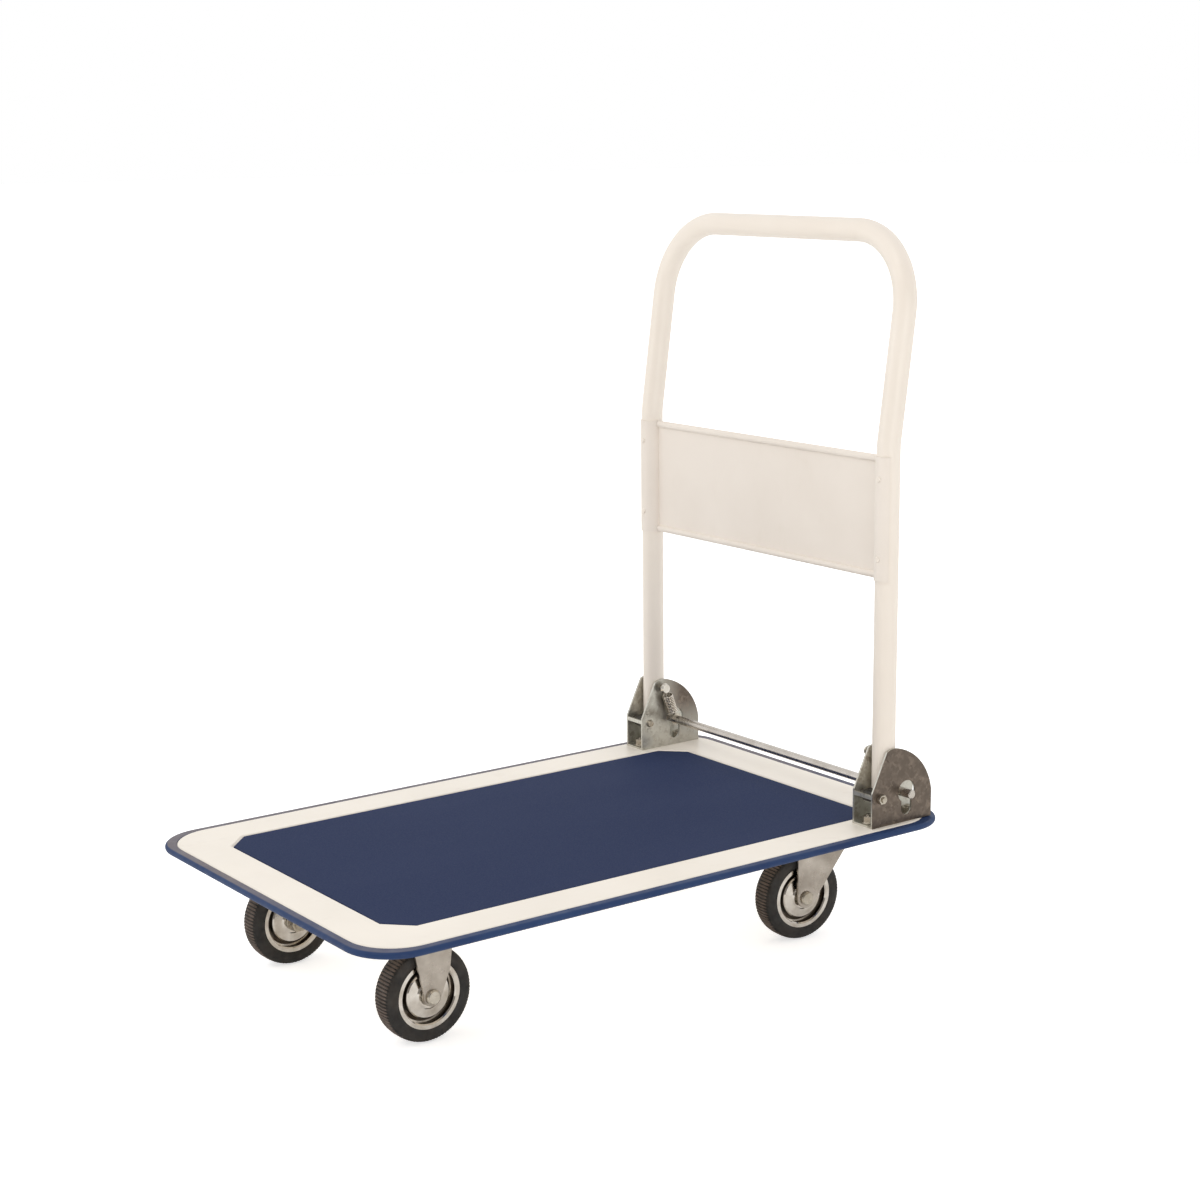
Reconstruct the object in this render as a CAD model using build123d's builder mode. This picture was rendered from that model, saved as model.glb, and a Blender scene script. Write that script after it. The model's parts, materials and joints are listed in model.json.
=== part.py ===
"""Flatbed platform truck with a folding tube handle, a foot-pressed lock rod,
two rigid casters at the load end and two swivel casters under the handle end.

Frame: millimetres, +Z up, floor at Z = 0, handle end towards +X,
"left" is +Y and "right" is -Y. The origin is at the bottom centre of the truck.
"""
from build123d import *
import os
from math import cos, sin, tan, radians

# ---------------------------------------------------------------- driving sizes
# Deck
DECK_LENGTH = 748.0            # over the bumper, X
DECK_WIDTH = 480.0             # over the bumper, Y
DECK_TOP = 138.0               # height of the painted steel border
DECK_SHEET = 2.0
DECK_RIM_DEPTH = 8.0           # depth of the folded rim below the deck top
DECK_LIP = 8.0                 # width of the rim's inward return
DECK_EDGE_ROUND = 3.0
CORNER_RADIUS = 54.0           # outline radius over the bumper
TRAY_CORNER = 52.0             # outline radius of the steel tray
BUMPER_REACH = 10.0            # how far the bumper stands out from the rim
BUMPER_TOP_DROP = 0.7          # bumper top below the deck top
BUMPER_HEIGHT = 7.2
BUMPER_NOSE = 3.5              # rounding of the bumper's outer edges
BUMPER_SKIRT = 1.6             # thickness of the lip under the rim
BUMPER_LIP = 6.0               # width of the bumper lip tucked under the rim
MAT_LENGTH = 621.0
MAT_WIDTH = 359.5
MAT_CHAMFER = 26.0
MAT_THICKNESS = 1.5
RECESS_DEPTH = 2.0             # pressed recess that holds the mat
RECESS_MARGIN = 0.8            # recess floor past the mat's edges
RECESS_SLOPE = 40.0            # degrees of the recess wall from upright
MAT_CENTRE_X = -4.3

# Casters
WHEEL_RADIUS = 50.0
TYRE_WIDTH = 28.4
TYRE_BORE = 33.0
RIM_LIP_RADIUS = 35.5
AXLE_RADIUS = 6.0
RUNNING_FIT = 0.05             # radial clearance of shafts in bores
RIGID_X = -260.2               # rigid wheel centres
RIGID_Y = 138.5
SWIVEL_X = 260.0               # swivel (kingpin) axes
SWIVEL_Y = 142.0
TRAIL = 31.0                   # kingpin axis to axle
SWIVEL_YAW = {"left": 3.0, "right": -5.0}
FORK_GAP = 33.0                # between the cheeks
FORK_SHEET = 2.5
PLATE_LENGTH = 95.0            # caster top plate
PLATE_WIDTH = 67.0
PLATE_CORNER = 8.0
PLATE_THICKNESS = 3.0
PLATE_BOLT_X = 75.0
PLATE_BOLT_Y = 45.0
PLATE_TOP = 126.0
BOLT_RADIUS = 4.0              # every M8 shank
BOLT_HOLE = 4.4
HEX_ACROSS_CORNERS = 15.0      # M8 hexagon
HEX_HEIGHT = 5.5
NUT_HEIGHT = 6.5
THREAD_END = 1.5               # thread that shows past a nut

# Handle
TUBE_RADIUS = 12.7
TUBE_WALL = 1.8
LEG_X = 294.2
LEG_Y = 206.8
LEG_END_HEIGHT = 23.0          # lower tube end above the deck
BEND_Z = 555.0                 # where the legs start to lean outwards
LEAN = 7.85                    # degrees
LEAN_LENGTH = 223.7            # along the lean, bend to crossbar centreline
BEND_RADIUS = 70.0
TOP_CORNER_RADIUS = 84.0
PANEL_BOTTOM = 408.5
PANEL_TOP = 543.0
PANEL_SHEET = 1.2
PANEL_BEAD_RADIUS = 4.0
PANEL_WRAP_PAST_FRONT = 55.0   # degrees of sleeve past the tube's front
RIVET_INSET = 24.0             # rivet height inside the panel's edges

# Handle brackets, measured from the leg centreline and the deck top
BRACKET_GAP = 27.0
BRACKET_SHEET = 2.3
PIVOT_DX = -18.3
PIVOT_H = 32.5
KEYHOLE_DX = 20.5
KEYHOLE_H = 34.4
KEYHOLE_RADIUS = 12.5
SLOT_HALF_WIDTH = 7.4
SLOT_BOTTOM_H = 8.0
ROD_RADIUS = 5.0
ROD_DX = 15.0
ROD_H = 34.8
ROD_END_Y = 237.5
STUD_DX = 0.0
STUD_H = 75.5
SPRING_RADIUS = 6.5
SPRING_WIRE = 1.8
SPRING_INBOARD = 7.5           # spring axis from the bracket's inner face

# ---------------------------------------------------------------- worked out
PLATE_HALF_LENGTH = DECK_LENGTH / 2 - BUMPER_REACH
PLATE_HALF_WIDTH = DECK_WIDTH / 2 - BUMPER_REACH
DECK_UNDER = DECK_TOP - DECK_SHEET
MAT_SEAT = DECK_TOP - RECESS_DEPTH
FRAME_TOP = DECK_UNDER - RECESS_DEPTH
RIM_BOTTOM = DECK_TOP - DECK_RIM_DEPTH
CHEEK_INNER = BRACKET_GAP / 2
CHEEK_OUTER = CHEEK_INNER + BRACKET_SHEET
PIVOT_X = LEG_X + PIVOT_DX
PIVOT_Z = DECK_TOP + PIVOT_H
ROD_X = LEG_X + ROD_DX
ROD_Z = DECK_TOP + ROD_H
CROWN_TOP = 113.0              # swivel fork crown
CROWN_SHEET = 3.0
BALL_RADIUS = 3.0
BALL_PITCH = 21.0
BALL_Z = 118.0
BALL_COUNT = 16
BALL_GAP = 0.3
SIDES = {"left": 1, "right": -1}

os.makedirs("parts", exist_ok=True)


def save(name, piece):
    """Label one finished sub-part and write its STEP file."""
    piece.part.label = name
    export_step(piece.part, "parts/" + name + ".step")


def caster_frame(x, y, yaw=0.0):
    """Horizontal plane on the floor below a caster, X along its rolling line."""
    turn = radians(yaw)
    return Plane(origin=(x, y, 0), x_dir=(cos(turn), sin(turn), 0), z_dir=(0, 0, 1))


def side_plane(frame, y):
    """Upright plane at a frame's local Y, extruding towards local -Y."""
    origin = frame.from_local_coords(Vector(0, y, 0))
    return Plane(origin=origin, x_dir=frame.x_dir, z_dir=-frame.y_dir)


def axle_plane(frame, x):
    """Upright plane through the axle at local x: sketch X runs along the axle."""
    origin = frame.from_local_coords(Vector(x, 0, WHEEL_RADIUS))
    return Plane(origin=origin, x_dir=frame.y_dir, z_dir=frame.x_dir)


def axle_axis(frame, x):
    origin = frame.from_local_coords(Vector(x, 0, WHEEL_RADIUS))
    return Axis(origin=origin, direction=frame.y_dir)


def turned(frame, x, outlines):
    """Solids of revolution about the axle from closed (along, radius) outlines."""
    with BuildPart() as piece:
        for outline in outlines:
            with BuildSketch(axle_plane(frame, x)):
                with BuildLine():
                    Polyline(*outline, close=True)
                make_face()
            revolve(axis=axle_axis(frame, x))
    return piece


def ring_outline(low, high, inner, outer):
    return [(low, inner), (high, inner), (high, outer), (low, outer)]


def mirrored(outline):
    return [(-along, radius) for along, radius in outline]


# ---------------------------------------------------------------- deck
def mat_outline(height, margin):
    """Sketch of the mat's cut-corner outline, grown by margin, at one height."""
    with BuildSketch(Plane.XY.offset(height)) as outline:
        with Locations((MAT_CENTRE_X, 0)):
            Rectangle(MAT_LENGTH + 2 * margin, MAT_WIDTH + 2 * margin)
        chamfer(outline.vertices(), MAT_CHAMFER)
    return outline.sketch


def deck_plate():
    """Pressed steel tray: border with a folded rim round a shallow recess for the mat."""
    margin = RECESS_MARGIN + RECESS_DEPTH * tan(radians(RECESS_SLOPE))
    with BuildPart() as piece:
        with BuildSketch(Plane.XY.offset(RIM_BOTTOM)):
            RectangleRounded(2 * PLATE_HALF_LENGTH, 2 * PLATE_HALF_WIDTH,
                             TRAY_CORNER)
        extrude(amount=DECK_RIM_DEPTH)
        fillet(piece.faces().sort_by(Axis.Z)[-1].edges(), DECK_EDGE_ROUND)
        with BuildSketch(Plane.XY.offset(RIM_BOTTOM + DECK_SHEET)):
            RectangleRounded(2 * (PLATE_HALF_LENGTH - DECK_SHEET),
                             2 * (PLATE_HALF_WIDTH - DECK_SHEET),
                             TRAY_CORNER - DECK_SHEET)
        extrude(amount=DECK_UNDER - RIM_BOTTOM - DECK_SHEET, mode=Mode.SUBTRACT)
        with BuildSketch(Plane.XY.offset(RIM_BOTTOM)):
            RectangleRounded(2 * (PLATE_HALF_LENGTH - DECK_LIP),
                             2 * (PLATE_HALF_WIDTH - DECK_LIP),
                             TRAY_CORNER - DECK_LIP)
        extrude(amount=DECK_SHEET, mode=Mode.SUBTRACT)
        under = mat_outline(DECK_UNDER, margin + DECK_SHEET)
        extrude(under, amount=-RECESS_DEPTH, taper=RECESS_SLOPE)
        recess = mat_outline(DECK_TOP, margin)
        extrude(recess, amount=-RECESS_DEPTH, taper=RECESS_SLOPE, mode=Mode.SUBTRACT)
        with BuildSketch(Plane.XY.offset(DECK_UNDER)):
            with Locations(*bracket_bolt_points()):
                Circle(BOLT_HOLE)
        extrude(amount=DECK_SHEET, mode=Mode.SUBTRACT)
    return piece


def deck_mat():
    """Thin anti-slip sheet with cut corners, glued into the tray's recess."""
    with BuildPart() as piece:
        extrude(mat_outline(MAT_SEAT, 0), amount=MAT_THICKNESS)
    return piece


def edge_bumper():
    """Extruded edge strip: flat rounded nose, skirt down the rim, lip beneath it."""
    nose_bottom = DECK_TOP - BUMPER_TOP_DROP - BUMPER_HEIGHT
    lip_bottom = RIM_BOTTOM - BUMPER_SKIRT
    with BuildPart() as piece:
        with BuildSketch(Plane.XY.offset(nose_bottom)):
            RectangleRounded(DECK_LENGTH, DECK_WIDTH, CORNER_RADIUS)
        extrude(amount=BUMPER_HEIGHT)
        outer_edges = piece.edges().group_by(Axis.Z)[0] + piece.edges().group_by(Axis.Z)[-1]
        fillet(outer_edges, BUMPER_NOSE)
        with BuildSketch(Plane.XY.offset(lip_bottom)):
            RectangleRounded(2 * (PLATE_HALF_LENGTH + BUMPER_SKIRT),
                             2 * (PLATE_HALF_WIDTH + BUMPER_SKIRT),
                             TRAY_CORNER + BUMPER_SKIRT)
        extrude(amount=nose_bottom - lip_bottom)
        with BuildSketch(Plane.XY.offset(RIM_BOTTOM)):
            RectangleRounded(2 * PLATE_HALF_LENGTH, 2 * PLATE_HALF_WIDTH,
                             TRAY_CORNER)
        extrude(amount=DECK_RIM_DEPTH, mode=Mode.SUBTRACT)
        with BuildSketch(Plane.XY.offset(lip_bottom)):
            RectangleRounded(2 * (PLATE_HALF_LENGTH - BUMPER_LIP),
                             2 * (PLATE_HALF_WIDTH - BUMPER_LIP),
                             TRAY_CORNER - BUMPER_LIP)
        extrude(amount=BUMPER_SKIRT, mode=Mode.SUBTRACT)
    return piece


CHANNEL_WEB = 100.0
CHANNEL_LENGTH = 420.0
CHANNEL_FLANGE = 10.0
CHANNEL_SHEET = 2.0
KINGPIN_HEAD_HOLE = 11.0
CHANNEL_CLEARANCE = 4.0        # stiffener end to channel flange


def cross_channel(x, plate_y, head_hole):
    """Hat section welded across the deck's underside, drilled for two casters."""
    web_bottom = PLATE_TOP
    with BuildPart() as piece:
        with BuildSketch(Plane.XZ.offset(-CHANNEL_LENGTH / 2)):
            with Locations((x, web_bottom + (FRAME_TOP - web_bottom) / 2)):
                Rectangle(CHANNEL_WEB, FRAME_TOP - web_bottom)
            with Locations((x, FRAME_TOP - CHANNEL_SHEET / 2)):
                Rectangle(CHANNEL_WEB + 2 * CHANNEL_FLANGE, CHANNEL_SHEET)
            inside_height = FRAME_TOP - web_bottom - CHANNEL_SHEET
            with Locations((x, FRAME_TOP - inside_height / 2)):
                Rectangle(CHANNEL_WEB - 2 * CHANNEL_SHEET, inside_height,
                          mode=Mode.SUBTRACT)
        extrude(amount=CHANNEL_LENGTH)
        with BuildSketch(Plane.XY.offset(web_bottom)):
            with Locations((x, plate_y), (x, -plate_y)):
                with GridLocations(PLATE_BOLT_X, PLATE_BOLT_Y, 2, 2):
                    Circle(BOLT_HOLE)
                if head_hole:
                    Circle(head_hole)
        extrude(amount=CHANNEL_SHEET, mode=Mode.SUBTRACT)
    return piece


STIFFENER_Y = 95.0
STIFFENER_WIDTH = 36.0
STIFFENER_HEIGHT = 10.0


def deck_stiffeners():
    """Two shallow U channels along the deck, welded between the cross channels."""
    start = RIGID_X + CHANNEL_WEB / 2 + CHANNEL_FLANGE + CHANNEL_CLEARANCE
    end = SWIVEL_X - CHANNEL_WEB / 2 - CHANNEL_FLANGE - CHANNEL_CLEARANCE
    length = end - start
    middle = (start + end) / 2
    with BuildPart() as piece:
        with BuildSketch(Plane.XY.offset(FRAME_TOP - STIFFENER_HEIGHT)):
            with Locations((middle, STIFFENER_Y), (middle, -STIFFENER_Y)):
                Rectangle(length, STIFFENER_WIDTH)
        extrude(amount=STIFFENER_HEIGHT)
        with BuildSketch(Plane.XY.offset(FRAME_TOP - STIFFENER_HEIGHT + CHANNEL_SHEET)):
            with Locations((middle, STIFFENER_Y), (middle, -STIFFENER_Y)):
                Rectangle(length, STIFFENER_WIDTH - 2 * CHANNEL_SHEET)
        extrude(amount=STIFFENER_HEIGHT - CHANNEL_SHEET, mode=Mode.SUBTRACT)
    return piece


# ---------------------------------------------------------------- brackets
BRACKET_FRONT = -30.0
BRACKET_BACK = 58.0
BRACKET_TOP_H = 85.0
FRONT_KNEE = (BRACKET_FRONT, 39.5)       # outline corners as (dx, height)
TOP_FRONT = (-9.0, 83.2)
TOP_CROWN = (-1.5, 85.6)
TOP_BACK = (7.5, BRACKET_TOP_H)
BACK_SWELL = (41.0, 65.5)
BACK_KNEE = (BRACKET_BACK, 30.5)
BOLT_DX = (-20.0, 38.0)
BRIDGE_TOP_H = 37.3
BRIDGE_HEIGHT = 4.5
DIMPLE_DX = -6.5
DIMPLE_H = 76.5
DIMPLE_RADIUS = 4.0
DIMPLE_HEIGHT = 0.8
DIMPLE_TAPER = 35
CUT_MARGIN = 1.0               # how far cutting tools reach past a surface


def at_bracket(point):
    """Frame X and Z of a bracket outline point given as (dx, height)."""
    return (LEG_X + point[0], DECK_TOP + point[1])


def bracket_bolt_points():
    return [(LEG_X + dx, side * LEG_Y) for dx in BOLT_DX for side in (1, -1)]


def bracket(side):
    """Folded U bracket: base on the deck, two shaped cheeks and a front bridge."""
    centre_y = side * LEG_Y
    with BuildPart() as piece:
        base = Plane.XY.offset(DECK_TOP)
        with BuildSketch(base):
            with Locations((LEG_X + (BRACKET_FRONT + BRACKET_BACK) / 2, centre_y)):
                Rectangle(BRACKET_BACK - BRACKET_FRONT, 2 * CHEEK_OUTER)
        extrude(amount=BRACKET_SHEET)
        for cheek_y in (centre_y + CHEEK_OUTER, centre_y - CHEEK_INNER):
            with BuildSketch(Plane.XZ.offset(-cheek_y)):
                with BuildLine():
                    front_low = at_bracket((BRACKET_FRONT, 0))
                    back_low = at_bracket((BRACKET_BACK, 0))
                    Line(front_low, at_bracket(FRONT_KNEE))
                    Line(at_bracket(FRONT_KNEE), at_bracket(TOP_FRONT))
                    ThreePointArc(at_bracket(TOP_FRONT), at_bracket(TOP_CROWN),
                                  at_bracket(TOP_BACK))
                    ThreePointArc(at_bracket(TOP_BACK), at_bracket(BACK_SWELL),
                                  at_bracket(BACK_KNEE))
                    Line(at_bracket(BACK_KNEE), back_low)
                    Line(back_low, front_low)
                make_face()
            extrude(amount=BRACKET_SHEET)
        with BuildSketch(Plane.XZ.offset(-(centre_y + CHEEK_OUTER + CUT_MARGIN))):
            with Locations((LEG_X + KEYHOLE_DX, DECK_TOP + KEYHOLE_H)):
                Circle(KEYHOLE_RADIUS)
            slot_top = DECK_TOP + KEYHOLE_H
            slot_bottom = DECK_TOP + SLOT_BOTTOM_H + SLOT_HALF_WIDTH
            with Locations((LEG_X + KEYHOLE_DX, (slot_top + slot_bottom) / 2)):
                Rectangle(2 * SLOT_HALF_WIDTH, slot_top - slot_bottom)
            with Locations((LEG_X + KEYHOLE_DX, slot_bottom)):
                Circle(SLOT_HALF_WIDTH)
            with Locations((PIVOT_X, PIVOT_Z)):
                Circle(PIVOT_BOLT_RADIUS)
        extrude(amount=2 * (CHEEK_OUTER + CUT_MARGIN), mode=Mode.SUBTRACT)
        with BuildSketch(Plane.XY.offset(DECK_TOP + BRIDGE_TOP_H - BRIDGE_HEIGHT)):
            with Locations((LEG_X + BRACKET_FRONT + BRACKET_SHEET / 2, centre_y)):
                Rectangle(BRACKET_SHEET, 2 * CHEEK_INNER)
        extrude(amount=BRIDGE_HEIGHT)
        with BuildSketch(Plane.XY.offset(DECK_TOP)):
            with Locations(*[(LEG_X + dx, centre_y) for dx in BOLT_DX]):
                Circle(BOLT_HOLE)
        extrude(amount=BRACKET_SHEET, mode=Mode.SUBTRACT)
        outside = centre_y + side * CHEEK_OUTER
        dimple_plane = Plane(origin=(LEG_X + DIMPLE_DX, outside, DECK_TOP + DIMPLE_H),
                             x_dir=(1, 0, 0), z_dir=(0, side, 0))
        with BuildSketch(dimple_plane):
            Circle(DIMPLE_RADIUS)
        extrude(amount=DIMPLE_HEIGHT, taper=DIMPLE_TAPER)
    return piece


def hexagons(plane, points, amount, radius=HEX_ACROSS_CORNERS / 2):
    """Hexagonal prisms at points of a plane, added to the open part."""
    with BuildSketch(plane) as outline:
        with Locations(*points):
            RegularPolygon(radius, 6)
    extrude(outline.sketch, amount=amount)


def rounds(plane, points, radius, amount):
    """Round pins at points of a plane, added to the open part."""
    with BuildSketch(plane) as outline:
        with Locations(*points):
            Circle(radius)
    extrude(outline.sketch, amount=amount)


WASHER_RADIUS = 8.0
WASHER_THICKNESS = 1.5
BRACKET_THREAD_END = 2.0
BOLT_END_CHAMFER = 0.8


def bracket_bolts():
    """Hexagon bolts from below the deck that hold both brackets down."""
    points = bracket_bolt_points()
    end = DECK_TOP + BRACKET_SHEET + WASHER_THICKNESS + NUT_HEIGHT + BRACKET_THREAD_END
    with BuildPart() as piece:
        hexagons(Plane.XY.offset(DECK_UNDER - HEX_HEIGHT), points, HEX_HEIGHT)
        rounds(Plane.XY.offset(DECK_UNDER), points, BOLT_RADIUS, end - DECK_UNDER)
        chamfer(piece.faces().sort_by(Axis.Z)[-len(points):].edges(), BOLT_END_CHAMFER)
    return piece


def bracket_nuts():
    """Washers and nuts on the bracket bolts, on the bracket bases."""
    points = bracket_bolt_points()
    seat = DECK_TOP + BRACKET_SHEET
    stack = WASHER_THICKNESS + NUT_HEIGHT
    with BuildPart() as piece:
        rounds(Plane.XY.offset(seat), points, WASHER_RADIUS, WASHER_THICKNESS)
        hexagons(Plane.XY.offset(seat + WASHER_THICKNESS), points, NUT_HEIGHT)
        with BuildSketch(Plane.XY.offset(seat)):
            with Locations(*points):
                Circle(BOLT_RADIUS)
        extrude(amount=stack, mode=Mode.SUBTRACT)
    return piece


PIVOT_BOLT_RADIUS = 3.0
PIVOT_HEAD_RADIUS = 4.7
PIVOT_HEAD = 3.2
PIVOT_HEAD_TAPER = 18
PIVOT_NUT_RADIUS = 5.8
PIVOT_NUT = 5.0
PIVOT_THREAD_END = 2.4


def pivot_face(side, outer):
    """Plane on a cheek's free face at the hinge, facing away from the bracket."""
    direction = side if outer else -side
    y = side * LEG_Y + direction * CHEEK_OUTER
    return Plane(origin=(PIVOT_X, y, PIVOT_Z), x_dir=(1, 0, 0), z_dir=(0, direction, 0))


def pivot_bolts():
    """One hinge bolt through each bracket, round head on the inner cheek."""
    with BuildPart() as piece:
        for side in SIDES.values():
            inner = pivot_face(side, outer=False)
            with BuildSketch(inner):
                Circle(PIVOT_HEAD_RADIUS)
            extrude(amount=PIVOT_HEAD, taper=PIVOT_HEAD_TAPER)
            length = 2 * CHEEK_OUTER + PIVOT_NUT + PIVOT_THREAD_END
            rounds(inner, [(0, 0)], PIVOT_BOLT_RADIUS, -length)
    return piece


def pivot_nuts():
    """Lock nuts of the hinge bolts, on the outer cheeks."""
    with BuildPart() as piece:
        for side in SIDES.values():
            outer = pivot_face(side, outer=True)
            hexagons(outer, [(0, 0)], PIVOT_NUT, PIVOT_NUT_RADIUS)
            with BuildSketch(outer):
                Circle(PIVOT_BOLT_RADIUS)
            extrude(amount=PIVOT_NUT, mode=Mode.SUBTRACT)
    return piece


STUD_NECK_RADIUS = 3.5
STUD_NECK = 7.0
STUD_HEAD_RADIUS = 6.5
STUD_HEAD = 3.5
STUD_HEAD_TAPER = 22


def spring_studs():
    """Domed studs on the inner cheeks that carry the upper spring hooks."""
    with BuildPart() as piece:
        for side in SIDES.values():
            face = side * (LEG_Y - CHEEK_OUTER)
            inward = Plane(origin=(LEG_X + STUD_DX, face, DECK_TOP + STUD_H),
                           x_dir=(1, 0, 0), z_dir=(0, -side, 0))
            rounds(inward, [(0, 0)], STUD_NECK_RADIUS, STUD_NECK)
            with BuildSketch(inward.offset(STUD_NECK)):
                Circle(STUD_HEAD_RADIUS)
            extrude(amount=STUD_HEAD, taper=STUD_HEAD_TAPER)
    return piece


SPRING_BODY_START = 12.0       # from the stud centre along the spring
SPRING_BODY_END = 10.5         # short of the rod centre
HOOK_GAP = 0.3


def spring(side):
    """Close-wound tension spring from the stud to the rod, with straight ends."""
    y = side * (LEG_Y - CHEEK_OUTER - SPRING_INBOARD)
    stud = Vector(LEG_X + STUD_DX, y, DECK_TOP + STUD_H)
    rod = Vector(ROD_X, y, ROD_Z)
    along = (rod - stud).normalized()
    body_length = (rod - stud).length - SPRING_BODY_START - SPRING_BODY_END
    upper = Plane(origin=stud + along * SPRING_BODY_START, z_dir=along)
    upper_hook = SPRING_BODY_START - STUD_HEAD_RADIUS - HOOK_GAP
    lower_hook = SPRING_BODY_END - ROD_RADIUS - HOOK_GAP
    with BuildPart() as piece:
        rounds(upper, [(0, 0)], SPRING_RADIUS, body_length)
        rounds(upper, [(0, 0)], SPRING_WIRE, -upper_hook)
        rounds(upper.offset(body_length), [(0, 0)], SPRING_WIRE, lower_hook)
        with BuildSketch(upper.offset(SPRING_WIRE)):
            Circle(SPRING_RADIUS - SPRING_WIRE)
        extrude(amount=body_length - 2 * SPRING_WIRE, mode=Mode.SUBTRACT)
    return piece


# ---------------------------------------------------------------- handle
def handle_path(radius_bend, radius_top):
    """Centreline of the handle: up one leg, over the crossbar, down the other."""
    foot_z = DECK_TOP + LEG_END_HEIGHT
    lean = radians(LEAN)
    top_x = LEG_X + LEAN_LENGTH * sin(lean)
    top_z = BEND_Z + LEAN_LENGTH * cos(lean)
    points = [(LEG_X, LEG_Y, foot_z), (LEG_X, LEG_Y, BEND_Z), (top_x, LEG_Y, top_z),
              (top_x, -LEG_Y, top_z), (LEG_X, -LEG_Y, BEND_Z), (LEG_X, -LEG_Y, foot_z)]
    return FilletPolyline(*points, radius=[radius_bend, radius_top, radius_top, radius_bend])


EAR_RADIUS = 6.5
EAR_HALF_WIDTH = 7.0
NOTCH_RADIUS = 27.2            # about the pivot, clear of the lock rod
NOTCH_TOP_H = 42.5


def cut_rod_notch(centre_y):
    """Notch behind a leg's lower end, so that the lock rod passes under the tube."""
    low = DECK_TOP
    high = DECK_TOP + NOTCH_TOP_H
    with BuildSketch(Plane.XZ.offset(-(centre_y + TUBE_RADIUS + CUT_MARGIN))) as notch:
        with Locations((LEG_X + TUBE_RADIUS, (low + high) / 2)):
            Rectangle(2 * TUBE_RADIUS, high - low)
        with Locations((PIVOT_X, PIVOT_Z)):
            Circle(NOTCH_RADIUS, mode=Mode.SUBTRACT)
    extrude(notch.sketch, amount=2 * (TUBE_RADIUS + CUT_MARGIN), mode=Mode.SUBTRACT)


def handle_tube():
    """One bent steel tube: two upright legs leaning outwards above the panel."""
    with BuildPart() as piece:
        with BuildLine() as route:
            handle_path(BEND_RADIUS, TOP_CORNER_RADIUS)
        with BuildSketch(Plane(origin=route.line @ 0, z_dir=route.line % 0)):
            Circle(TUBE_RADIUS)
            Circle(TUBE_RADIUS - TUBE_WALL, mode=Mode.SUBTRACT)
        sweep(path=route.line)
        for side in SIDES.values():
            cut_rod_notch(side * LEG_Y)
            ear_top = DECK_TOP + PIVOT_H + EAR_RADIUS
            with BuildSketch(Plane.XY.offset(ear_top)):
                with Locations((LEG_X - TUBE_RADIUS, side * LEG_Y)):
                    Rectangle(2 * TUBE_RADIUS, 2 * EAR_HALF_WIDTH)
            extrude(amount=DECK_TOP - ear_top, mode=Mode.SUBTRACT)
    return piece


SLEEVE_GAP = 0.1
SLEEVE_REACH = 30.0            # size of the sector that keeps a part of the sleeve ring
BEAD_END_GAP = 0.4             # bead end to sleeve


def name_panel():
    """Sheet panel between the legs, hemmed above and below, wrapped on the tubes."""
    inner = TUBE_RADIUS + SLEEVE_GAP
    outer = inner + PANEL_SHEET
    height = PANEL_TOP - PANEL_BOTTOM
    reach = SLEEVE_REACH
    with BuildPart() as piece:
        for side in SIDES.values():
            with BuildSketch(Plane.XY.offset(PANEL_BOTTOM)):
                with Locations((LEG_X, side * LEG_Y)):
                    Circle(outer)
                    Circle(inner, mode=Mode.SUBTRACT)
                    edge = radians(180 - side * PANEL_WRAP_PAST_FRONT)
                    tip = (reach * cos(edge), reach * sin(edge))
                    inboard = (0, -side * reach)
                    front = (-reach, -side * reach)
                    front_tip = (-reach, tip[1])
                    centre = (0, 0)
                    with BuildLine():
                        outline = [centre, inboard, front, front_tip, tip]
                        moved = [(LEG_X + x, side * LEG_Y + y) for x, y in outline]
                        Polyline(*moved, close=True)
                make_face(mode=Mode.INTERSECT)
            extrude(amount=height)
        span = 2 * (LEG_Y - inner - PANEL_SHEET / 2)
        with BuildSketch(Plane.XY.offset(PANEL_BOTTOM + PANEL_BEAD_RADIUS)):
            with Locations((LEG_X - PANEL_SHEET / 2, 0)):
                Rectangle(PANEL_SHEET, span)
        extrude(amount=height - 2 * PANEL_BEAD_RADIUS)
        bead_span = 2 * (LEG_Y - outer - BEAD_END_GAP)
        for z in (PANEL_BOTTOM + PANEL_BEAD_RADIUS, PANEL_TOP - PANEL_BEAD_RADIUS):
            with BuildSketch(Plane.XZ.offset(-bead_span / 2)):
                with Locations((LEG_X - PANEL_SHEET / 2, z)):
                    Circle(PANEL_BEAD_RADIUS)
                    Circle(PANEL_BEAD_RADIUS - PANEL_SHEET, mode=Mode.SUBTRACT)
            extrude(amount=bead_span)
    return piece


RIVET_RADIUS = 3.2
RIVET_HEIGHT = 1.4
RIVET_TAPER = 30


def panel_rivets():
    """Four blind rivets through the panel's sleeves into the front of the tubes."""
    face_x = LEG_X - TUBE_RADIUS - SLEEVE_GAP - PANEL_SHEET
    points = [(side * LEG_Y, z) for side in (1, -1)
              for z in (PANEL_BOTTOM + RIVET_INSET, PANEL_TOP - RIVET_INSET)]
    with BuildPart() as piece:
        for y, z in points:
            front = Plane(origin=(face_x, y, z), x_dir=(0, -1, 0), z_dir=(-1, 0, 0))
            with BuildSketch(front):
                Circle(RIVET_RADIUS)
            extrude(amount=RIVET_HEIGHT, taper=RIVET_TAPER)
    return piece


FOOT_PLUG_TOP_H = 67.0
PLUG_RADIUS = TUBE_RADIUS - TUBE_WALL
BUSH_RADIUS = 5.0
BUSH_END_GAP = 0.3


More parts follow.
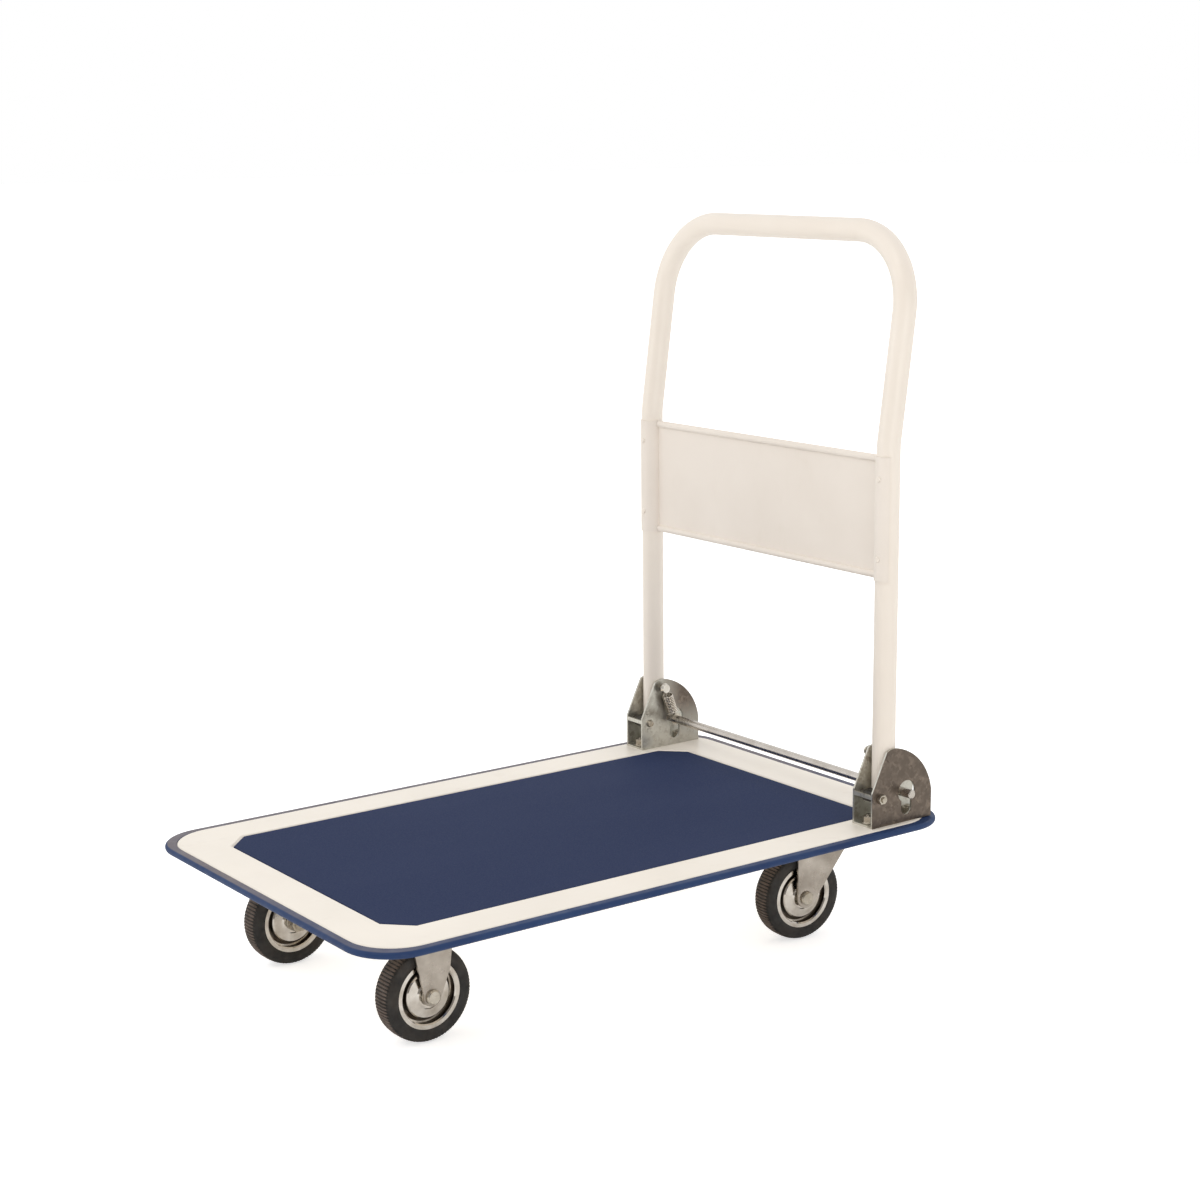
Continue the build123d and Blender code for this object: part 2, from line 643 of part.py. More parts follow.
def leg_foot(side):
    """Steel plug in the tube end with a forward ear for the hinge."""
    centre_y = side * LEG_Y
    bottom = DECK_TOP + LEG_END_HEIGHT
    with BuildPart() as piece:
        rounds(Plane.XY.offset(bottom), [(LEG_X, centre_y)], PLUG_RADIUS,
               DECK_TOP + FOOT_PLUG_TOP_H - bottom)
        with BuildSketch(Plane.XZ.offset(-(centre_y + EAR_HALF_WIDTH))):
            with Locations((PIVOT_X, PIVOT_Z)):
                Circle(EAR_RADIUS)
            with Locations(((PIVOT_X + LEG_X) / 2, PIVOT_Z)):
                Rectangle(LEG_X - PIVOT_X, 2 * EAR_RADIUS)
        extrude(amount=2 * EAR_HALF_WIDTH)
        cut_rod_notch(centre_y)
        with BuildSketch(Plane.XZ.offset(-(centre_y + EAR_HALF_WIDTH))):
            with Locations((PIVOT_X, PIVOT_Z)):
                Circle(BUSH_RADIUS)
        extrude(amount=2 * EAR_HALF_WIDTH, mode=Mode.SUBTRACT)
    return piece


def pivot_bushes():
    """Steel sleeves pressed in the feet, turning on the hinge bolts."""
    half = CHEEK_INNER - BUSH_END_GAP
    with BuildPart() as piece:
        for side in SIDES.values():
            with BuildSketch(Plane.XZ.offset(-(side * LEG_Y + half))):
                with Locations((PIVOT_X, PIVOT_Z)):
                    Circle(BUSH_RADIUS)
                    Circle(PIVOT_BOLT_RADIUS + RUNNING_FIT, mode=Mode.SUBTRACT)
            extrude(amount=2 * half)
    return piece


# ---------------------------------------------------------------- lock rod
CLIP_RADIUS = 7.5
CLIP_THICKNESS = 1.2
GROOVE_DEPTH = 0.8
ROD_END_CHAMFER = 1.0
CLIP_GAP = 1.5                 # clip to spring wire


def clip_positions():
    inboard = LEG_Y - CHEEK_OUTER - SPRING_INBOARD - SPRING_WIRE - CLIP_GAP
    return [side * inboard for side in (1, -1)]


def lock_rod():
    """Steel rod across the truck, pressed down by foot to release the handle."""
    with BuildPart() as piece:
        with BuildSketch(Plane.XZ.offset(-ROD_END_Y)):
            with Locations((ROD_X, ROD_Z)):
                Circle(ROD_RADIUS)
        extrude(amount=2 * ROD_END_Y)
        chamfer(piece.edges().filter_by(GeomType.CIRCLE), ROD_END_CHAMFER)
        for y in clip_positions():
            with BuildSketch(Plane.XZ.offset(-(y + CLIP_THICKNESS / 2))):
                with Locations((ROD_X, ROD_Z)):
                    Circle(ROD_RADIUS)
                    Circle(ROD_RADIUS - GROOVE_DEPTH, mode=Mode.SUBTRACT)
            extrude(amount=CLIP_THICKNESS, mode=Mode.SUBTRACT)
    return piece


def rod_clips():
    """Snap rings in the rod's grooves that keep the spring hooks in place."""
    with BuildPart() as piece:
        for y in clip_positions():
            with BuildSketch(Plane.XZ.offset(-(y + CLIP_THICKNESS / 2))):
                with Locations((ROD_X, ROD_Z)):
                    Circle(CLIP_RADIUS)
                    Circle(ROD_RADIUS - GROOVE_DEPTH, mode=Mode.SUBTRACT)
                with Locations((ROD_X, ROD_Z - CLIP_RADIUS)):
                    Rectangle(ROD_RADIUS, CLIP_RADIUS, mode=Mode.SUBTRACT)
            extrude(amount=CLIP_THICKNESS)
    return piece


# ---------------------------------------------------------------- wheels
TYRE_SEAT_HALF = 11.0          # half width of the tyre's base in the rim
TYRE_EDGE_HALF = 12.4          # half width where the rubber meets the rim lip
TYRE_SHOULDER = (13.0, 45.6)   # (along the axle, radius)
TYRE_CORNER = (11.5, 48.0)
TYRE_CROWN_EDGE = (8.8, 49.3)
TYRE_BULGE_RADIUS = 41.0


def tyre(frame, x):
    """Solid rubber tyre with rounded shoulders."""
    half = TYRE_WIDTH / 2
    edge = (TYRE_EDGE_HALF, RIM_LIP_RADIUS)
    seat_high = (TYRE_SEAT_HALF, RIM_LIP_RADIUS)
    seat_low = (TYRE_SEAT_HALF, TYRE_BORE)
    with BuildPart() as piece:
        with BuildSketch(axle_plane(frame, x)) as section:
            with BuildLine() as outline:
                Line((0, TYRE_BORE), seat_low)
                Line(seat_low, seat_high)
                Line(seat_high, edge)
                ThreePointArc(edge, (half, TYRE_BULGE_RADIUS), TYRE_SHOULDER)
                ThreePointArc(TYRE_SHOULDER, TYRE_CORNER, TYRE_CROWN_EDGE)
                crown_mid_radius = (TYRE_CROWN_EDGE[1] + 3 * WHEEL_RADIUS) / 4
                crown_mid = (TYRE_CROWN_EDGE[0] / 2, crown_mid_radius)
                ThreePointArc(TYRE_CROWN_EDGE, crown_mid, (0, WHEEL_RADIUS))
                Line((0, WHEEL_RADIUS), (0, TYRE_BORE))
            make_face()
            mirror(about=Plane.YZ)
        revolve(section.sketch, axis=axle_axis(frame, x))
    return piece


HUB_BORE = 9.5
HUB_HALF = 13.6
HUB_WALL_RADIUS = 11.0


def wheel_rim(frame, x):
    """Two pressed steel discs back to back: hub tube, domed disc, groove and lip."""
    lip = [(0.0, TYRE_BORE), (TYRE_SEAT_HALF, TYRE_BORE), (TYRE_SEAT_HALF, RIM_LIP_RADIUS),
           (12.6, RIM_LIP_RADIUS), (12.6, 31.4), (11.4, 30.2)]
    groove = [(3.4, 30.0), (3.4, 25.4)]
    dome = [(9.2, 25.2), (10.8, 23.6), (12.2, 14.6), (HUB_HALF, 12.8)]
    hub = [(HUB_HALF, HUB_BORE), (0.0, HUB_BORE), (0.0, HUB_WALL_RADIUS),
           (11.6, HUB_WALL_RADIUS)]
    dome_back = [(10.4, 14.2), (9.2, 22.9), (8.2, 23.6), (1.8, 23.8)]
    lip_back = [(1.6, 31.4), (0.0, 31.4)]
    half_disc = lip + groove + dome + hub + dome_back + lip_back
    return turned(frame, x, [half_disc, mirrored(half_disc)])


BUSH_HALF = 14.2


def wheel_bush(frame, x):
    """Plain bearing sleeve pressed into the hub."""
    outline = ring_outline(-BUSH_HALF, BUSH_HALF, AXLE_RADIUS + RUNNING_FIT, HUB_BORE)
    return turned(frame, x, [outline])


AXLE_HEAD_RADIUS = 7.9
AXLE_HEAD = 3.6
AXLE_HEAD_CHAMFER = 1.6
AXLE_NUT_RADIUS = 10.0
AXLE_NUT = 7.0
HUB_WASHER_RADIUS = 10.5
HUB_WASHER_GAP = 0.9           # washer to hub


def axle_bolt(frame, x, head_side):
    """Axle: round head on the outside cheek, shank through the fork."""
    face = FORK_GAP / 2 + FORK_SHEET
    end = face + AXLE_NUT + THREAD_END
    head = face + AXLE_HEAD
    outline = [(-end, 0), (head, 0), (head, AXLE_HEAD_RADIUS - AXLE_HEAD_CHAMFER),
               (head - AXLE_HEAD_CHAMFER, AXLE_HEAD_RADIUS), (face, AXLE_HEAD_RADIUS),
               (face, AXLE_RADIUS), (-end, AXLE_RADIUS)]
    if head_side < 0:
        outline = mirrored(outline)
    return turned(frame, x, [outline])


def axle_nuts(placements):
    """Nuts on the inner ends of axles, one solid each."""
    with BuildPart() as piece:
        for frame, x, head_side in placements:
            face = FORK_GAP / 2 + FORK_SHEET
            seat = side_plane(frame, -head_side * face)
            amount = AXLE_NUT if head_side > 0 else -AXLE_NUT
            hexagons(seat, [(x, WHEEL_RADIUS)], amount, AXLE_NUT_RADIUS)
            with BuildSketch(seat):
                with Locations((x, WHEEL_RADIUS)):
                    Circle(AXLE_RADIUS)
            extrude(amount=amount, mode=Mode.SUBTRACT)
    return piece


def hub_washers(frame, x):
    """Two washers between the fork cheeks and the wheel hub."""
    inner = HUB_HALF + HUB_WASHER_GAP
    outer = FORK_GAP / 2
    washer = ring_outline(inner, outer, AXLE_RADIUS, HUB_WASHER_RADIUS)
    return turned(frame, x, [washer, mirrored(washer)])


# ---------------------------------------------------------------- forks
FORK_BEND = 4.0                # outer bend radius between crown and cheeks
FORK_CUT_BOTTOM = 30.0         # raw cheek length before the side outline is cut
FORK_HALF_REACH = 80.0         # raw fork length each way before the outline is cut


def fork_section(frame, top, sheet):
    """Inverted U section of a fork in its local YZ plane, with rounded bends."""
    outer = FORK_GAP / 2 + FORK_SHEET
    inner = FORK_GAP / 2
    bottom = FORK_CUT_BOTTOM
    plane = Plane(origin=frame.from_local_coords(Vector(-FORK_HALF_REACH, 0, 0)),
                  x_dir=frame.y_dir, z_dir=frame.x_dir)
    with BuildSketch(plane) as section:
        with BuildLine():
            FilletPolyline((-outer, bottom), (-outer, top), (outer, top), (outer, bottom),
                           radius=FORK_BEND)
            Line((outer, bottom), (inner, bottom))
            FilletPolyline((inner, bottom), (inner, top - sheet), (-inner, top - sheet),
                           (-inner, bottom), radius=FORK_BEND - FORK_SHEET)
            Line((-inner, bottom), (-outer, bottom))
        make_face()
    extrude(section.sketch, amount=2 * FORK_HALF_REACH)


SWIVEL_TIP_RADIUS = 11.5
SWIVEL_SLANT = 37.6            # degrees from upright, front edge
SIDE_CUT_HALF = 40.0           # half width of the tools that cut a fork's side view


def swivel_outline(frame):
    """Side view of the swivel fork: upright back edge, slanted front edge."""
    axle_x = -TRAIL
    tip = SWIVEL_TIP_RADIUS
    above = CROWN_TOP + CUT_MARGIN
    with BuildSketch(side_plane(frame, SIDE_CUT_HALF)) as outline:
        with BuildLine():
            slant = radians(SWIVEL_SLANT)
            front_touch = (axle_x + tip * cos(slant), WHEEL_RADIUS - tip * sin(slant))
            rise = above - front_touch[1]
            front_top = (front_touch[0] + rise * sin(slant) / cos(slant), above)
            back_top = (axle_x - tip, above)
            back_touch = (axle_x - tip, WHEEL_RADIUS)
            Line(back_top, back_touch)
            ThreePointArc(back_touch, (axle_x, WHEEL_RADIUS - tip), front_touch)
            Line(front_touch, front_top)
            Line(front_top, back_top)
        make_face()
    extrude(outline.sketch, amount=2 * SIDE_CUT_HALF, mode=Mode.INTERSECT)


RACE_OUTER = 27.0
RACE_INNER = 15.0
RACE_LEDGE = 1.0               # crown past the lower race
RACE_HALF_GAP = 1.6            # race faces to the plane of the ball centres


def swivel_fork(frame):
    """Pressed fork: crown with the lower ball race, two cheeks to the axle."""
    with BuildPart() as piece:
        fork_section(frame, CROWN_TOP, CROWN_SHEET)
        swivel_outline(frame)
        with BuildSketch(frame.offset(CROWN_TOP - CROWN_SHEET)):
            Circle(RACE_OUTER + RACE_LEDGE)
        extrude(amount=CROWN_SHEET)
        with BuildSketch(frame.offset(CROWN_TOP)):
            Circle(RACE_OUTER)
            Circle(RACE_INNER, mode=Mode.SUBTRACT)
        extrude(amount=BALL_Z - RACE_HALF_GAP - CROWN_TOP)
        cut_race(frame)
        with BuildSketch(frame.offset(CROWN_TOP - CROWN_SHEET)):
            Circle(AXLE_RADIUS + RUNNING_FIT)
        extrude(amount=CROWN_SHEET, mode=Mode.SUBTRACT)
        cut_axle_hole(frame, -TRAIL)
    return piece


def cut_race(frame):
    """Torus-shaped ball track cut in the open part."""
    middle = frame.from_local_coords(Vector(0, 0, 0))
    plane = Plane(origin=middle, x_dir=frame.x_dir, z_dir=-frame.y_dir)
    with BuildSketch(plane) as track:
        with Locations((BALL_PITCH, BALL_Z)):
            Circle(BALL_RADIUS + BALL_GAP)
    revolve(track.sketch, axis=Axis(origin=middle, direction=(0, 0, 1)), mode=Mode.SUBTRACT)


def cut_axle_hole(frame, x):
    with BuildSketch(side_plane(frame, SIDE_CUT_HALF)) as hole:
        with Locations((x, WHEEL_RADIUS)):
            Circle(AXLE_RADIUS)
    extrude(hole.sketch, amount=2 * SIDE_CUT_HALF, mode=Mode.SUBTRACT)


def swivel_plate(frame):
    """Top plate bolted to the deck, with the upper ball race beneath it."""
    with BuildPart() as piece:
        with BuildSketch(frame.offset(PLATE_TOP - PLATE_THICKNESS)):
            RectangleRounded(PLATE_LENGTH, PLATE_WIDTH, PLATE_CORNER)
            with GridLocations(PLATE_BOLT_X, PLATE_BOLT_Y, 2, 2):
                Circle(BOLT_HOLE, mode=Mode.SUBTRACT)
        extrude(amount=PLATE_THICKNESS)
        race_bottom = BALL_Z + RACE_HALF_GAP
        with BuildSketch(frame.offset(race_bottom)):
            Circle(RACE_OUTER)
            Circle(RACE_INNER, mode=Mode.SUBTRACT)
        extrude(amount=PLATE_TOP - PLATE_THICKNESS - race_bottom)
        cut_race(frame)
        with BuildSketch(frame.offset(PLATE_TOP - PLATE_THICKNESS)):
            Circle(AXLE_RADIUS)
        extrude(amount=PLATE_THICKNESS, mode=Mode.SUBTRACT)
    return piece


def bearing_balls(frame):
    """Ring of steel balls between the two swivel races."""
    with BuildPart() as piece:
        with Locations(frame.offset(BALL_Z)):
            with PolarLocations(BALL_PITCH, BALL_COUNT):
                Sphere(BALL_RADIUS)
    return piece


KINGPIN_HEAD_RADIUS = 9.5
KINGPIN_HEAD = 3.5
KINGPIN_BOTTOM = 101.0
KINGPIN_FLANGE_RADIUS = 10.5
KINGPIN_FLANGE = 1.5
KINGPIN_NUT_RADIUS = 9.8


def kingpin(frame):
    """Swivel pin: riveted head above the plate, shank through the crown."""
    with BuildPart() as piece:
        rounds(frame.offset(KINGPIN_BOTTOM), [(0, 0)], AXLE_RADIUS, PLATE_TOP - KINGPIN_BOTTOM)
        rounds(frame.offset(PLATE_TOP), [(0, 0)], KINGPIN_HEAD_RADIUS, KINGPIN_HEAD)
    return piece


def kingpin_nuts(frames):
    """Flanged nuts below the fork crowns, one solid each."""
    with BuildPart() as piece:
        for frame in frames:
            flange = CROWN_TOP - CROWN_SHEET - BALL_GAP - KINGPIN_FLANGE
            bottom = flange - NUT_HEIGHT
            rounds(frame.offset(flange), [(0, 0)], KINGPIN_FLANGE_RADIUS, KINGPIN_FLANGE)
            hexagons(frame.offset(bottom), [(0, 0)], NUT_HEIGHT, KINGPIN_NUT_RADIUS)
            with BuildSketch(frame.offset(bottom)):
                Circle(AXLE_RADIUS)
            extrude(amount=NUT_HEIGHT + KINGPIN_FLANGE, mode=Mode.SUBTRACT)
    return piece


RIGID_TOP_BACK = -25.0         # rigid fork side view, X from the axle
RIGID_TOP_FRONT = 27.0
RIGID_FRONT_MID = (21.0, 76.0)
RIGID_TIP_BACK = (-9.7, WHEEL_RADIUS + 2.4)
RIGID_TIP_LOW = (-3.0, WHEEL_RADIUS - 9.5)
RIGID_TIP_FRONT = (8.4, WHEEL_RADIUS - 5.4)


def rigid_fork(frame):
    """Fixed fork: bolted top plate with two tapering cheeks welded under it."""
    crown = PLATE_TOP - PLATE_THICKNESS
    with BuildPart() as piece:
        fork_section(frame, crown, FORK_SHEET)
        with BuildSketch(side_plane(frame, SIDE_CUT_HALF)):
            with BuildLine():
                back_top = (RIGID_TOP_BACK, crown + CUT_MARGIN)
                front_top = (RIGID_TOP_FRONT, crown + CUT_MARGIN)
                front_mid = RIGID_FRONT_MID
                back_touch = RIGID_TIP_BACK
                front_touch = RIGID_TIP_FRONT
                Line(back_top, back_touch)
                ThreePointArc(back_touch, RIGID_TIP_LOW, front_touch)
                Line(front_touch, front_mid)
                Line(front_mid, front_top)
                Line(front_top, back_top)
            make_face()
        extrude(amount=2 * SIDE_CUT_HALF, mode=Mode.INTERSECT)
        with BuildSketch(frame.offset(crown)):
            RectangleRounded(PLATE_LENGTH, PLATE_WIDTH, PLATE_CORNER)
            with GridLocations(PLATE_BOLT_X, PLATE_BOLT_Y, 2, 2):
                Circle(BOLT_HOLE, mode=Mode.SUBTRACT)
        extrude(amount=PLATE_THICKNESS)
        cut_axle_hole(frame, 0)
    return piece


def caster_bolt_points(frames):
    points = []
    for frame in frames:
        for dx in (-PLATE_BOLT_X / 2, PLATE_BOLT_X / 2):
            for dy in (-PLATE_BOLT_Y / 2, PLATE_BOLT_Y / 2):
                points.append((frame.origin.X + dx, frame.origin.Y + dy))
    return points


def caster_bolts(points):
    """Bolts that hold the caster plates up to the cross channels."""
    head_seat = PLATE_TOP + CHANNEL_SHEET
    bottom = PLATE_TOP - PLATE_THICKNESS - NUT_HEIGHT - THREAD_END
    with BuildPart() as piece:
        hexagons(Plane.XY.offset(head_seat), points, HEX_HEIGHT)
        rounds(Plane.XY.offset(bottom), points, BOLT_RADIUS, head_seat - bottom)
    return piece


def caster_nuts(points):
    """Nuts under the caster plates."""
    plane = Plane.XY.offset(PLATE_TOP - PLATE_THICKNESS - NUT_HEIGHT)
    with BuildPart() as piece:
        hexagons(plane, points, NUT_HEIGHT)
        with BuildSketch(plane):
            with Locations(*points):
                Circle(BOLT_RADIUS)
        extrude(amount=NUT_HEIGHT, mode=Mode.SUBTRACT)
    return piece


# ---------------------------------------------------------------- assembly
save("deck_plate", deck_plate())
save("deck_mat", deck_mat())
save("edge_bumper", edge_bumper())
save("load_end_channel", cross_channel(RIGID_X, RIGID_Y, 0))
save("handle_end_channel", cross_channel(SWIVEL_X, SWIVEL_Y, KINGPIN_HEAD_HOLE))
save("deck_stiffeners", deck_stiffeners())
save("bracket_bolts", bracket_bolts())
save("bracket_nuts", bracket_nuts())
save("pivot_bolts", pivot_bolts())
save("pivot_nuts", pivot_nuts())
save("spring_studs", spring_studs())
save("handle_tube", handle_tube())
save("name_panel", name_panel())
save("panel_rivets", panel_rivets())
save("pivot_bushes", pivot_bushes())
save("lock_rod", lock_rod())
save("rod_clips", rod_clips())

plate_frames = []
rigid_axles = []
swivel_plates = []
for side_name, side in SIDES.items():
    save("bracket_" + side_name, bracket(side))
    save("leg_foot_" + side_name, leg_foot(side))
    save("spring_" + side_name, spring(side))

    rigid = caster_frame(RIGID_X, side * RIGID_Y)
    name = "rigid_" + side_name + "_"
    save(name + "fork", rigid_fork(rigid))
    save(name + "axle", axle_bolt(rigid, 0, side))
    save(name + "washers", hub_washers(rigid, 0))
    save(name + "tyre", tyre(rigid, 0))
    save(name + "rim", wheel_rim(rigid, 0))
    save(name + "bush", wheel_bush(rigid, 0))
    rigid_axles.append((rigid, 0, side))

    swivel = caster_frame(SWIVEL_X, side * SWIVEL_Y, SWIVEL_YAW[side_name])
    plate = caster_frame(SWIVEL_X, side * SWIVEL_Y)
    name = "swivel_" + side_name + "_"
    save(name + "plate", swivel_plate(plate))
    save(name + "kingpin", kingpin(plate))
    save(name + "balls", bearing_balls(plate))
    save(name + "fork", swivel_fork(swivel))
    save(name + "axle", axle_bolt(swivel, -TRAIL, side))
    save(name + "axle_nut", axle_nuts([(swivel, -TRAIL, side)]))
    save(name + "washers", hub_washers(swivel, -TRAIL))
    save(name + "tyre", tyre(swivel, -TRAIL))
    save(name + "rim", wheel_rim(swivel, -TRAIL))
    save(name + "bush", wheel_bush(swivel, -TRAIL))
    plate_frames += [rigid, plate]
    swivel_plates.append(plate)

save("rigid_axle_nuts", axle_nuts(rigid_axles))
save("kingpin_nuts", kingpin_nuts(swivel_plates))
save("caster_bolts", caster_bolts(caster_bolt_points(plate_frames)))
save("caster_nuts", caster_nuts(caster_bolt_points(plate_frames)))
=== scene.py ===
import json
import math

import bmesh
import bpy
from mathutils import Matrix, Vector


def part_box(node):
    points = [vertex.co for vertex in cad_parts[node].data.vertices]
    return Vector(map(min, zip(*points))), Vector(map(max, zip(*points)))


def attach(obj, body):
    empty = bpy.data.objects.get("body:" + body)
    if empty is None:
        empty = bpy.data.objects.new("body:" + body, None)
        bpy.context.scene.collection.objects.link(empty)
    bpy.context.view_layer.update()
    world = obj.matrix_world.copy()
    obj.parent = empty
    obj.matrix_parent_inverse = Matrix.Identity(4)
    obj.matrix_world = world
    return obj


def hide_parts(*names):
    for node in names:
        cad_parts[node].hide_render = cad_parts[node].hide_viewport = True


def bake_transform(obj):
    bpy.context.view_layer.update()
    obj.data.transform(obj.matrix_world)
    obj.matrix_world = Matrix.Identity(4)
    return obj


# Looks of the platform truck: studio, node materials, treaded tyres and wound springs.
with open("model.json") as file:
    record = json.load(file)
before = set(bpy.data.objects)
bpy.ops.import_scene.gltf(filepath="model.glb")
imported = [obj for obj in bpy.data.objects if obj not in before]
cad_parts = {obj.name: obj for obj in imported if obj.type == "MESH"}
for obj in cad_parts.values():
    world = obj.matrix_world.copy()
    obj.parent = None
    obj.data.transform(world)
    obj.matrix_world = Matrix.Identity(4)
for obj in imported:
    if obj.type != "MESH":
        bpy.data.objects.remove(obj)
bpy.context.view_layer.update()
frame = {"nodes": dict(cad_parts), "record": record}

NODES = frame["nodes"]
JOINTS = {joint["name"]: joint for joint in frame["record"]["behaviour"]["joints"]}
SIDES = ("left", "right")
WHEELS = tuple(kind + "_" + side for kind in ("rigid", "swivel") for side in SIDES)
MIX_FACTOR, MIX_FIRST, MIX_SECOND, MIX_RESULT = 0, 6, 7, 2    # a Mix node's sockets for colours

# ------------------------------------------------------------------ camera and studio
CAMERA_PLACE = (-1.3747, -1.9788, 0.8841)
CAMERA_RIGHT = (0.808897, -0.587854, -0.010614)
CAMERA_UP = (0.135425, 0.168718, 0.976317)
CAMERA_LENS = 68.6
CAMERA_SHIFT = (0.004, 0.0304)
VIEW_SIDE = (-0.5721, -0.7912, 0.0)      # level part of the direction from truck to camera
WHITE = (1, 1, 1, 1)
SHADED_SKY = (0.28, 0.265, 0.25, 1)      # light from the camera's side
SHADED_RANGE = (0.05, 0.75)              # share of VIEW_SIDE over which the sky darkens
FLOOR_REACH = 40.0
PAPER_SEEN = ((0.9, 0.9, 0.9, 1), 0.6)            # colour and glow to look at
PAPER_BOUNCED = ((0.85, 0.84, 0.82, 1), 0.22)     # and as light on the truck


def make_camera():
    data = bpy.data.cameras.new("camera")
    data.lens = CAMERA_LENS
    data.sensor_width = 36
    data.clip_end = 200
    data.shift_x, data.shift_y = CAMERA_SHIFT
    camera = bpy.data.objects.new("camera", data)
    right, up = Vector(CAMERA_RIGHT), Vector(CAMERA_UP)
    turn = Matrix((right, up, right.cross(up))).transposed()
    camera.matrix_world = Matrix.Translation(CAMERA_PLACE) @ turn.to_4x4()
    bpy.context.collection.objects.link(camera)
    bpy.context.scene.camera = camera


def area_light(name, place, target, size, power, colour=(1, 1, 1)):
    data = bpy.data.lights.new(name, "AREA")
    data.shape = "RECTANGLE"
    data.size, data.size_y = size
    data.energy = power
    data.color = colour
    light = bpy.data.objects.new(name, data)
    light.location = place
    light.rotation_euler = (Vector(target) - Vector(place)).to_track_quat("-Z", "Y").to_euler()
    bpy.context.collection.objects.link(light)


def make_world():
    """White to look at; as light, dimmer on the side that the camera stands on."""
    world = bpy.data.worlds.new("studio")
    bpy.context.scene.world = world
    world.use_nodes = True
    nodes, links = world.node_tree.nodes, world.node_tree.links
    direction = nodes.new("ShaderNodeTexCoord").outputs["Generated"]
    toward = nodes.new("ShaderNodeVectorMath")
    toward.operation = "DOT_PRODUCT"
    toward.inputs[1].default_value = VIEW_SIDE
    links.new(direction, toward.inputs[0])
    grey = nodes.new("ShaderNodeValToRGB")
    for stop, position, colour in zip(grey.color_ramp.elements, SHADED_RANGE, (WHITE, SHADED_SKY)):
        stop.position = position
        stop.color = colour
    links.new(toward.outputs["Value"], grey.inputs["Fac"])
    seen = nodes.new("ShaderNodeMix")
    seen.data_type = "RGBA"
    links.new(nodes.new("ShaderNodeLightPath").outputs["Is Camera Ray"], seen.inputs["Factor"])
    links.new(grey.outputs["Color"], seen.inputs[MIX_FIRST])
    seen.inputs[MIX_SECOND].default_value = WHITE
    links.new(seen.outputs[MIX_RESULT], nodes["Background"].inputs["Color"])
    nodes["Background"].inputs["Strength"].default_value = 1.0


def make_floor():
    """Paper that is white to look at and gives less light than it shows."""
    floor = bpy.data.objects.new("floor", bpy.data.meshes.new("floor"))
    reach = FLOOR_REACH
    corners = [(-reach, -reach, 0), (reach, -reach, 0), (reach, reach, 0), (-reach, reach, 0)]
    floor.data.from_pydata(corners, [], [(0, 1, 2, 3)])
    bpy.context.collection.objects.link(floor)
    paper = bpy.data.materials.new("floor_paper")
    paper.use_nodes = True
    nodes, links = paper.node_tree.nodes, paper.node_tree.links
    seen = nodes["Principled BSDF"]
    bounced = nodes.new("ShaderNodeBsdfPrincipled")
    for shader, (colour, glow) in ((seen, PAPER_SEEN), (bounced, PAPER_BOUNCED)):
        shader.inputs["Base Color"].default_value = colour
        shader.inputs["Roughness"].default_value = 0.9
        shader.inputs["Emission Color"].default_value = WHITE
        shader.inputs["Emission Strength"].default_value = glow
    both = nodes.new("ShaderNodeMixShader")
    links.new(nodes.new("ShaderNodeLightPath").outputs["Is Camera Ray"], both.inputs["Fac"])
    links.new(bounced.outputs["BSDF"], both.inputs[1])
    links.new(seen.outputs["BSDF"], both.inputs[2])
    links.new(both.outputs["Shader"], nodes["Material Output"].inputs["Surface"])
    floor.data.materials.append(paper)


bpy.context.scene.view_settings.view_transform = "Standard"
make_camera()
make_world()
make_floor()
area_light("key", (-4.4, -1.2, 6.0), (0, 0, 0.2), (3.2, 3.2), 98, (1.0, 0.985, 0.96))
area_light("side", (-1.2, -5.6, 1.4), (0.3, 0.1, 0.3), (3.2, 2.0), 66)
area_light("fill", (-2.6, 1.4, 0.9), (0.3, 0.2, 0.3), (1.2, 1.0), 7)


# ------------------------------------------------------------------ places from the frame
TUBE_RADIUS = 0.0127
DIMPLE_PROUD = 0.0008                    # a bracket's dimple, past its outer cheek
LEG_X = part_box("handle_tube")[0][0] + TUBE_RADIUS     # the legs' centreline
DECK_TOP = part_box("deck_plate")[1][2]


def middle(name):
    low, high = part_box(name)
    return (Vector(low) + Vector(high)) / 2


def cheek_faces():
    """Distances from the middle plane to the brackets' two free cheek faces."""
    low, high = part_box("bracket_left")
    return low[1], high[1] - DIMPLE_PROUD


# ------------------------------------------------------------------ materials
def tint(red, green, blue):
    """Scene colour of a display colour given in 0 to 255."""
    def linear(value):
        value /= 255
        return value / 12.92 if value <= 0.04045 else ((value + 0.055) / 1.055) ** 2.4
    return (linear(red), linear(green), linear(blue), 1)


